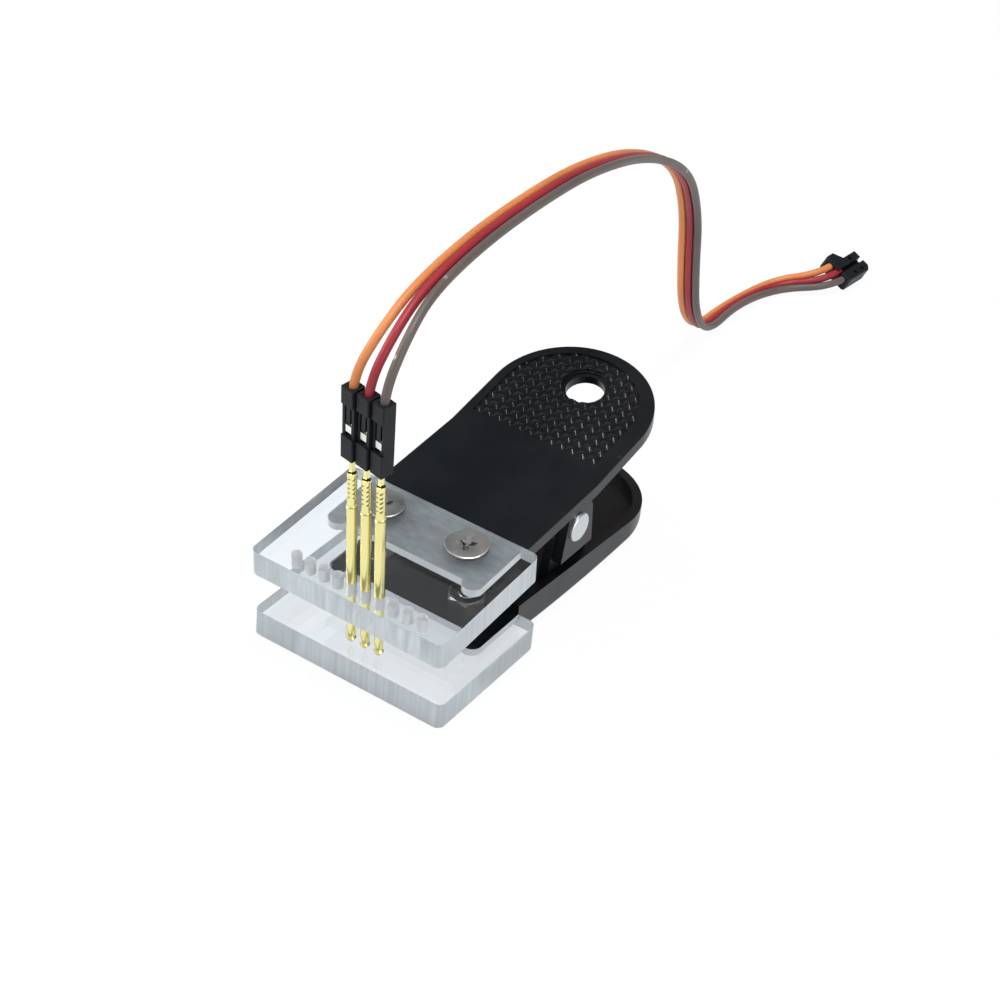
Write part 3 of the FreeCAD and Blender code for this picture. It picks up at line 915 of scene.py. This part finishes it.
@dataclass
class RibbonLead:
    """Three wires side by side, from the pin housings to the end connector."""

    diameter: float = 0.00138
    lengths: dict[WireColour, float] = field(default_factory=lambda: {
        WireColour.ORANGE: 0.1993, WireColour.RED: 0.1991, WireColour.BROWN: 0.1990})
    routes: dict[WireColour, list[Point]] = field(default_factory=lambda: {
        WireColour.ORANGE: [
            (-1.175, -35.292, 51.852), (-1.151, -35.538, 55.243), (-0.050, -31.289, 61.100),
            (-0.600, -22.989, 64.200), (-2.120, -7.989, 64.900), (-3.710, 9.011, 63.800),
            (-5.310, 26.011, 61.500), (-7.010, 45.511, 55.900), (-8.802, 64.363, 45.400),
            (-9.562, 71.946, 33.100), (-9.962, 74.846, 20.000), (-10.496, 78.815, 8.700),
            (-11.510, 87.311, 0.690), (-11.268, 98.589, 0.690), (-8.914, 112.432, 0.690),
            (-1.136, 115.815, 3.708), (-0.592, 120.987, 3.708)],
        WireColour.RED: [
            (1.480, -35.277, 51.651), (1.534, -35.523, 55.042), (2.050, -31.289, 61.100),
            (0.900, -22.989, 64.200), (-0.700, -7.989, 64.900), (-2.300, 9.011, 63.800),
            (-3.900, 26.011, 61.500), (-5.600, 45.511, 55.900), (-7.400, 64.511, 45.400),
            (-8.200, 72.311, 33.100), (-8.600, 75.211, 20.000), (-9.100, 79.011, 8.700),
            (-10.100, 87.311, 0.690), (-10.000, 98.411, 1.290), (-7.600, 111.611, 0.690),
            (0.454, 115.648, 2.997), (0.998, 120.820, 2.997)],
        WireColour.BROWN: [
            (4.133, -35.262, 51.449), (4.216, -35.508, 54.839), (4.150, -31.289, 61.100),
            (2.400, -22.989, 64.200), (0.720, -7.989, 64.900), (-0.890, 9.011, 63.800),
            (-2.490, 26.011, 61.500), (-4.190, 45.511, 55.900), (-5.998, 64.658, 45.400),
            (-6.838, 72.676, 33.100), (-7.238, 75.576, 20.000), (-7.704, 79.207, 8.700),
            (-8.690, 87.311, 0.690), (-8.732, 98.233, 1.890), (-6.286, 110.789, 0.690),
            (2.044, 115.481, 2.285), (2.587, 120.652, 2.285)]})

    def wire(self, colour: WireColour, finishes: Finishes) -> bpy.types.Object:
        """Make one wire as a smooth curve along its route.

        Args:
            colour: Which wire.
            finishes: The clip's materials.

        Returns:
            The curve object.
        """
        name = f"{colour.value}_wire"
        curve = bpy.data.curves.new(name, "CURVE")
        curve.dimensions = "3D"
        curve.bevel_depth = self.diameter / 2.0
        curve.bevel_resolution = 5
        curve.resolution_u = 10
        curve.use_fill_caps = True
        points = self.routes[colour]
        spline = curve.splines.new("NURBS")
        spline.points.add(len(points) - 1)
        for slot, (x, y, z) in zip(spline.points, points):
            slot.co = (x * MM, y * MM, z * MM, 1.0)
        spline.order_u = 3
        spline.use_endpoint_u = True
        curve.materials.append(getattr(finishes, colour.value))
        return linked(name, curve)

    def build(self, finishes: Finishes, plug: Sequence[bpy.types.Object]) -> None:
        """Make all three wires and put them on the upper half.

        Args:
            finishes: The clip's materials.
            plug: Not used.
        """
        for colour in WireColour:
            obj = self.wire(colour, finishes)
            settle(obj, UPPER, f"wire_{colour.value}", f"wire_{colour.value}")


class PlateFace(IntEnum):
    """How a face of a plate was made, in the order of the plate's materials."""

    POLISHED = 0
    SAWN = 1
    MILLED = 2
    DRILLED = 3
    WALL = 4


@dataclass
class JawPlate:
    """A clear plate with polished faces, sawn sides, a milled pocket and drilled holes."""

    node: str
    body: str
    frame: Matrix
    half_w: float = 17.5
    depth: float = 25.0
    skin: float = 0.2
    side_band: float = 1.25
    hole_band: float = 6.0
    screw_reach: float = 1.7
    level: float = 0.9
    edge: float = 0.0001
    gap: float = 0.03

    def finish_of(self, c: Vector, n: Vector) -> PlateFace:
        """Return how one face was made.

        Args:
            c: The face's middle, in the plate's own frame.
            n: Its normal there.

        Returns:
            The kind of face.
        """
        if abs(n.z) > self.level:
            outside = c.z < self.skin or c.z > PLATE_THICKNESS - self.skin
            return PlateFace.POLISHED if outside else PlateFace.MILLED
        if abs(c.x) > self.half_w - self.side_band or c.y < self.side_band or c.y > self.depth - self.skin:
            return PlateFace.SAWN
        screw_hole = abs(c.y - SCREW_Y) < self.screw_reach and abs(abs(c.x) - SCREW_X) < self.screw_reach
        return PlateFace.DRILLED if c.y < self.hole_band or screw_hole else PlateFace.WALL

    def build(self, nodes: Nodes, finishes: Finishes) -> None:
        """Make the plate.

        Args:
            nodes: The CAD nodes by name.
            finishes: The clip's materials.
        """
        made = (finishes.polished, finishes.sawn, finishes.milled, finishes.drilled, finishes.wall)
        obj = copied_node(nodes[self.node], f"clear_{self.node}", made)
        back = self.frame.inverted()
        turn = back.to_3x3().normalized()
        for face in obj.data.polygons:
            face.material_index = self.finish_of(back @ face.center, turn @ face.normal)
        moved: set[int] = set()
        for face in obj.data.polygons:
            if face.material_index == PlateFace.MILLED:
                for index in set(face.vertices) - moved:
                    obj.data.vertices[index].co -= face.normal * self.gap * MM
                    moved.add(index)
        round_edges(obj, self.edge)
        flatten_light(obj)
        settle(obj, self.body, "clear_acrylic", self.node)


@dataclass
class HandleGrip:
    """The upper lever with a sunk field of small pyramids round the hole of its handle."""

    bend_y: float = 46.5
    bend: float = 7.3
    top: float = 2.5
    front_y: float = 49.85
    centre: Flat = (-0.5, 59.3)
    half_w: float = 11.75
    hole: Flat = (-0.2, 64.35)
    hole_r: float = 3.95
    pitch_x: float = 2.0
    pitch_y: float = 1.936
    crest_y: float = 50.87
    columns: int = 13
    rows: int = 13
    depth: float = 0.4
    base: float = 0.4
    ridge: float = 0.22
    edge: float = 0.16
    floor_gap: float = 0.1
    side_gap: float = 0.01
    above: float = 1.0
    arc_steps: int = 48
    bore_steps: int = 64
    bore_reach: float = 2.0

    def frame(self) -> Matrix:
        """Return the matrix from the handle's sloping top, in mm, to the scene."""
        slope = Matrix.Rotation(math.radians(self.bend), 4, "X")
        return upper_frame() @ Matrix.Translation((0.0, self.bend_y, self.top)) @ slope

    def along(self, y: float) -> float:
        """Return the way up the slope to a place that is given along the plate."""
        return (y - self.bend_y) / math.cos(math.radians(self.bend))

    def outline(self, shrink: float) -> bpy.types.Mesh:
        """Return the block that the field is sunk by, or cut to.

        Args:
            shrink: How far inside the field's outline it stays, in mm.

        Returns:
            The closed mesh, at its place in the scene.
        """
        r = self.half_w - shrink
        x0, mid = self.centre[0], self.along(self.centre[1])
        front = self.along(self.front_y) + shrink
        bow = arc((x0, mid), r, math.pi, self.arc_steps, self.arc_steps + 1)
        block = prism([(x0 + r, front), *bow, (x0 - r, front)], -self.depth - self.floor_gap, self.above)
        block.transform(self.frame())
        return block

    def bore(self) -> bpy.types.Mesh:
        """Return a round block through the handle's hole, at its place in the scene."""
        middle = (self.hole[0], self.along(self.hole[1]))
        plan = arc(middle, self.hole_r, 2.0 * math.pi, self.bore_steps, self.bore_steps)
        block = prism(plan, -self.bore_reach, self.bore_reach)
        block.transform(self.frame())
        return block

    def pyramids(self) -> bpy.types.Mesh:
        """Return the block of pyramids, before it is cut to the outline."""
        faces: list[list[int]] = []
        wide = self.columns + 1
        x0 = -self.columns * self.pitch_x / 2.0
        y0 = self.along(self.crest_y) - 1.5 * self.pitch_y
        verts = [(x0 + column * self.pitch_x, y0 + row * self.pitch_y, -self.depth)
                 for row in range(self.rows + 1) for column in range(wide)]
        for row in range(self.rows):
            for column in range(self.columns):
                low_left = row * wide + column
                low_right, high_left, high_right = low_left + 1, low_left + wide, low_left + wide + 1
                x = x0 + (column + 0.5) * self.pitch_x
                y = y0 + (row + 0.5) * self.pitch_y
                left = len(verts)
                verts += [(x - self.ridge, y, 0.0), (x + self.ridge, y, 0.0)]
                faces += [[low_left, low_right, left + 1, left], [high_right, high_left, left, left + 1],
                          [low_right, high_right, left + 1], [high_left, low_left, left]]
        rim = list(range(wide)) + [row * wide + wide - 1 for row in range(1, self.rows + 1)]
        rim += [self.rows * wide + column for column in range(wide - 2, -1, -1)]
        rim += [row * wide for row in range(self.rows - 1, 0, -1)]
        foot = len(verts)
        verts += [(verts[number][0], verts[number][1], -self.depth - self.base) for number in rim]
        for k in range(len(rim)):
            n = (k + 1) % len(rim)
            faces.append([rim[n], rim[k], foot + k, foot + n])
        faces.append([foot + k for k in range(len(rim) - 1, -1, -1)])
        return bare_mesh("pyramids", verts, faces)

    def build(self, nodes: Nodes, finishes: Finishes) -> None:
        """Make the lever and its field.

        Args:
            nodes: The CAD nodes by name.
            finishes: The clip's materials.
        """
        lever = copied_node(nodes["upper_lever"], "knurled_lever", [finishes.lever])
        carve(lever, [self.outline(0.0)])
        flatten_light(lever, 30.0)
        settle(lever, UPPER, "lever_plastic", "upper_lever")
        grip = new_piece("handle_pyramids", self.pyramids(), [finishes.grip], 30.0)
        grip.data.transform(self.frame())
        round_edges(grip, self.edge * MM, 12.0)
        carve(grip, [self.outline(self.side_gap)], "INTERSECT")
        carve(grip, [self.bore()])
        flatten_light(grip, 50.0)
        settle(grip, UPPER, "lever_plastic")


@dataclass
class CrossScrew:
    """A low domed screw with a cross recess, drawn in its plate's own frame.

    The head's foot and crown are pairs: how far in from the rim, and how far above the
    plate or below the head's top. The well's pairs are radius and height over the top.
    """

    node: str
    body: str
    frame: Matrix
    x: float
    turn: float
    head_r: float = 3.42
    head_h: float = 0.88
    foot: tuple[Flat, ...] = ((0.3, 0.0), (0.28, 0.1), (0.05, 0.27), (0.0, 0.33))
    crown: tuple[Flat, ...] = ((0.0, 0.12), (0.04, 0.05), (0.12, 0.02), (0.2, 0.015))
    dome: float = 0.005
    shank_r: float = 1.45
    shank_low: float = -2.1
    shank_bevel: float = 0.2
    arm_length: float = 3.5
    arm_width: float = 0.84
    arm_depth: float = 0.75
    arm_taper: Flat = (0.42, 1.12)
    well: tuple[Flat, ...] = ((0.0, -0.95), (0.55, -0.7), (0.85, 0.3), (0.0, 0.3))
    clear: float = 0.3
    segments: int = 72
    well_segments: int = 24
    recess_reach: float = 0.7
    recess_top: float = 0.95
    # Sloped recess faces keep the nickel; the rest of the recess and the side band get painted shade.
    bright_slope: Flat = (0.55, 0.97)
    side_band: Flat = (0.3, 0.13)

    def gets_painted_shade(self, c: Vector, n: Vector) -> bool:
        """Return whether a face gets painted shade: in the recess, and on the head's lower side.

        Args:
            c: The face's middle, from the screw's axis.
            n: Its normal.

        Returns:
            True for the darker steel that paints shade on the screw.
        """
        out = math.hypot(c.x, c.y)
        sunk = PLATE_THICKNESS < c.z < PLATE_THICKNESS + self.head_h * self.recess_top
        bright = self.bright_slope[0] < math.hypot(n.x, n.y) < self.bright_slope[1]
        recess = sunk and out < self.head_r * self.recess_reach and not bright
        low = c.z < PLATE_THICKNESS + self.head_h - self.side_band[1]
        return recess or (low and out > self.head_r - self.side_band[0])

    def build(self, finishes: Finishes) -> None:
        """Make the screw.

        Args:
            finishes: The clip's materials.
        """
        z = PLATE_THICKNESS
        top = z + self.head_h
        profile = [(0.0, self.shank_low), (self.shank_r - self.shank_bevel, self.shank_low),
                   (self.shank_r, self.shank_low + self.shank_bevel), (self.shank_r, z)]
        profile += [(self.head_r - inset, z + rise) for inset, rise in self.foot]
        profile += [(self.head_r - inset, top - fall) for inset, fall in self.crown]
        profile += [(self.head_r * 0.5, top), (0.0, top + self.dome)]
        obj = turned_piece(f"head_{self.node}", lathe(profile, self.segments), [finishes.nickel])
        carve(obj, [self.flute(self.turn), self.flute(self.turn + 90.0), self.socket()])
        # Painted shade: the recess, but for its sloped end walls, and the head's lower side take the
        # darker steel.
        obj.data.materials.append(finishes.nut)
        for face in obj.data.polygons:
            if self.gets_painted_shade(face.center, face.normal):
                face.material_index = 1
        obj.data.transform(self.frame @ Matrix.Translation((self.x, SCREW_Y, 0.0)))
        flatten_light(obj, 32.0)
        settle(obj, self.body, "screw_steel", self.node)

    def flute(self, degrees: float) -> bpy.types.Mesh:
        """Return one tapered arm pair of the cross.

        Args:
            degrees: Its direction in the plate's plane.

        Returns:
            The cutter's mesh.
        """
        top = PLATE_THICKNESS + self.head_h
        w = self.arm_width / 2.0
        verts = []
        for z, share in zip((top - self.arm_depth, top + self.clear), self.arm_taper):
            a = self.arm_length / 2.0 * share
            verts += [(-a, -w, z), (a, -w, z), (a, w, z), (-a, w, z)]
        faces = [[3, 2, 1, 0], [4, 5, 6, 7], [0, 1, 5, 4], [1, 2, 6, 5], [2, 3, 7, 6], [3, 0, 4, 7]]
        mesh = bare_mesh("flute", verts, faces)
        mesh.transform(Matrix.Rotation(math.radians(degrees), 4, "Z"))
        return mesh

    def socket(self) -> bpy.types.Mesh:
        """Return the round well at the middle of the cross."""
        top = PLATE_THICKNESS + self.head_h
        return bare_mesh("well", *lathe([(r, top + rise) for r, rise in self.well], self.well_segments))


@dataclass
class Probe:
    """A gold receptacle with crimp dents, drawn along its hole in the plate's frame.

    The groove at the tube's end is pairs: how far in, and how far below the step.
    """

    number: int
    dent_turns: Flat
    tube_r: float = 0.84
    neck_r: float = 0.72
    bore_r: float = 0.55
    barrel_bore: float = 0.69
    low: float = 0.2
    high: float = 25.0
    neck: float = 5.8
    edge: float = 0.05
    groove: tuple[Flat, ...] = ((0.0, 0.32), (0.09, 0.26), (0.09, 0.18), (0.02, 0.1))
    shoulder: float = 0.02
    well_floor: float = 1.0
    segments: int = 48
    ring_pitch: float = 0.06
    ring_start: float = 0.15
    ring_margin: float = 0.35
    touch: float = 0.01
    dent_rows: int = 5
    dent_start: float = 1.0
    dent_pitch: float = 0.82
    dent_half_turn: float = 32.0
    dent_half_h: float = 0.15
    dent_skew: float = 0.005
    dent_depth: float = 0.2
    painted_shade_from: float = 0.075

    def dent(self, x: float, y: float, z: float) -> float:
        """Return how deep the crimp dents are at a place on the neck.

        Args:
            x: The place, from the tube's axis.
            y: The same, across.
            z: Its height along the tube.

        Returns:
            Depth in mm.
        """
        angle = math.degrees(math.atan2(y, x))
        deep = 0.0
        for turn in self.dent_turns:
            off = (angle - turn + 180.0) % 360.0 - 180.0
            a = abs(off) / self.dent_half_turn
            for row in range(self.dent_rows):
                middle = self.high - self.dent_start - row * self.dent_pitch
                b = abs(z - middle - off * self.dent_skew) / self.dent_half_h
                if a < 1.0 and b < 1.0:
                    deep = max(deep, (1.0 - a * a) * (1.0 - b * b))
        return self.dent_depth * deep

    def build(self, finishes: Finishes) -> None:
        """Make the receptacle.

        Args:
            finishes: The clip's materials.
        """
        step = self.high - self.neck
        rings = [(self.barrel_bore, self.low), (self.tube_r - self.edge, self.low),
                 (self.tube_r, self.low + self.edge)]
        rings += [(self.tube_r - inset, step - fall) for inset, fall in self.groove]
        rings.append((self.neck_r + self.shoulder, step))
        count = int((self.neck - self.ring_margin) / self.ring_pitch)
        rings += [(self.neck_r, step + self.ring_start + k * self.ring_pitch) for k in range(count)]
        rings += [(self.neck_r, self.high - self.ring_pitch), (self.neck_r - self.edge, self.high),
                  (self.bore_r, self.high), (self.bore_r, step + self.well_floor),
                  (0.0, step + self.well_floor)]
        verts, faces = lathe(rings, self.segments)
        for index, (x, y, z) in enumerate(verts):
            radius = math.hypot(x, y)
            if z > step + self.touch and radius > self.neck_r - self.touch:
                k = (radius - self.dent(x, y, z)) / radius
                verts[index] = (x * k, y * k, z)
        name = f"receptacle_tube_{self.number}"
        obj = turned_piece(name, (verts, faces), [finishes.gold, finishes.painted_shade])
        # Faces deep in the crimp dents get the crimp shadow metal, painted shade in the dents.
        for face in obj.data.polygons:
            c = face.center
            on_neck = c.z > step + self.ring_start and math.hypot(c.x, c.y) > self.bore_r + self.touch
            face.material_index = int(on_neck and self.dent(*c) > self.painted_shade_from)
        place = Matrix.Translation((PROBE_X[self.number - 1], HOLE_ROW_Y, 0.0))
        obj.data.transform(upper_frame() @ place)
        settle(obj, UPPER, "gold", f"receptacle_{self.number}")


@dataclass
class Dress:
    """Finishes on the CAD nodes whose shape is right, and softened copies of the moulded ones."""

    finishes: Finishes
    housings: tuple[str, ...] = ("pin_housing_1", "pin_housing_2", "pin_housing_3")
    edge: float = 0.00006
    shoulder_z: float = -6.45
    up: float = 0.3
    pin_reach: float = 0.5

    def paint(self, nodes: Nodes) -> None:
        """Put a material on every CAD node.

        Args:
            nodes: The CAD nodes by name.
        """
        looks = self.finishes
        rules = (
            ("lever", looks.lever), ("housing", looks.connector), ("end_connector", looks.connector),
            ("end_contact", looks.tin), ("screw", looks.nickel), ("nut", looks.nut),
            ("pivot_pin", looks.pin), ("spring", looks.spring), ("receptacle", looks.gold),
            ("probe_barrel", looks.gold), ("plunger", looks.gold), ("male_pin", looks.gold),
            ("plate", looks.polished), ("wire", looks.connector),
        )
        for name, node in nodes.items():
            for word, material in rules:
                if word in name:
                    node.data.materials.clear()
                    node.data.materials.append(material)
                    break
        for name, node in nodes.items():
            if name.startswith("male_pin"):
                self.brighten_lock(node)
            elif name.startswith("plunger"):
                self.paint_shoulder_shade(node)

    def paint_shoulder_shade(self, node: bpy.types.Object) -> None:
        """Put painted shade on a plunger's faces that look up into the gap below its barrel.

        Args:
            node: The plunger's CAD node.
        """
        node.data.materials.append(self.finishes.painted_shade)
        place = upper_frame().inverted() @ node.matrix_world
        turn = place.to_3x3()
        for face in node.data.polygons:
            up = (turn @ face.normal).normalized().z > self.up
            face.material_index = int(up and (place @ face.center).z > self.shoulder_z * MM)

    def brighten_lock(self, node: bpy.types.Object) -> None:
        """Give the locking block of a pin, which shows in the housing's window, its tin finish.

        Args:
            node: The pin's node.
        """
        node.data.materials.append(self.finishes.tin)
        places = {tuple(round(c, 6) for c in v.co) for v in node.data.vertices}
        points = [Vector(p) for p in sorted(places, key=lambda p: p[2])]
        low = sum(points[:4], Vector()) / 4.0
        way = (sum(points[-4:], Vector()) / 4.0 - low).normalized()
        for face in node.data.polygons:
            arms = [node.data.vertices[number].co - low for number in face.vertices]
            off = max((arm - way * arm.dot(way)).length for arm in arms)
            face.material_index = int(off > self.pin_reach * MM)

    def soft_copy(self, nodes: Nodes, name: str) -> bpy.types.Object:
        """Replace a moulded shell by a copy with softened edges.

        Args:
            nodes: The CAD nodes by name.
            name: The shell's node.

        Returns:
            The copy.
        """
        obj = copied_node(nodes[name], f"soft_{name}", [self.finishes.connector])
        round_edges(obj, self.edge)
        flatten_light(obj)
        settle(obj, UPPER, "connector_plastic", name)
        return obj


def main() -> None:
    """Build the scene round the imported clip."""
    logging.basicConfig(level=logging.INFO, format="%(message)s")
    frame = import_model()
    nodes = frame["nodes"]
    Studio().build()
    finishes = make_finishes(Groups())
    dress = Dress(finishes)
    dress.paint(nodes)
    shell = dress.soft_copy(nodes, "end_connector")
    plug = [shell, nodes["end_contact_1"], nodes["end_contact_2"], nodes["end_contact_3"]]
    RibbonLead().build(finishes, plug)
    JawPlate("upper_plate", UPPER, upper_frame()).build(nodes, finishes)
    JawPlate("lower_plate", LOWER, lower_frame()).build(nodes, finishes)
    HandleGrip().build(nodes, finishes)
    CrossScrew("upper_screw_left", UPPER, upper_frame(), -SCREW_X, 30.0).build(finishes)
    CrossScrew("upper_screw_right", UPPER, upper_frame(), SCREW_X, 25.0).build(finishes)
    CrossScrew("lower_screw_left", LOWER, lower_frame(), SCREW_X, 30.0).build(finishes)
    CrossScrew("lower_screw_right", LOWER, lower_frame(), -SCREW_X, 50.0).build(finishes)
    for number, turns in enumerate(((-103.0, -22.0), (-117.0, -29.0), (-112.0, -45.0)), 1):
        Probe(number, turns).build(finishes)
    for name in dress.housings:
        dress.soft_copy(nodes, name)


if __name__ == "__main__":
    main()
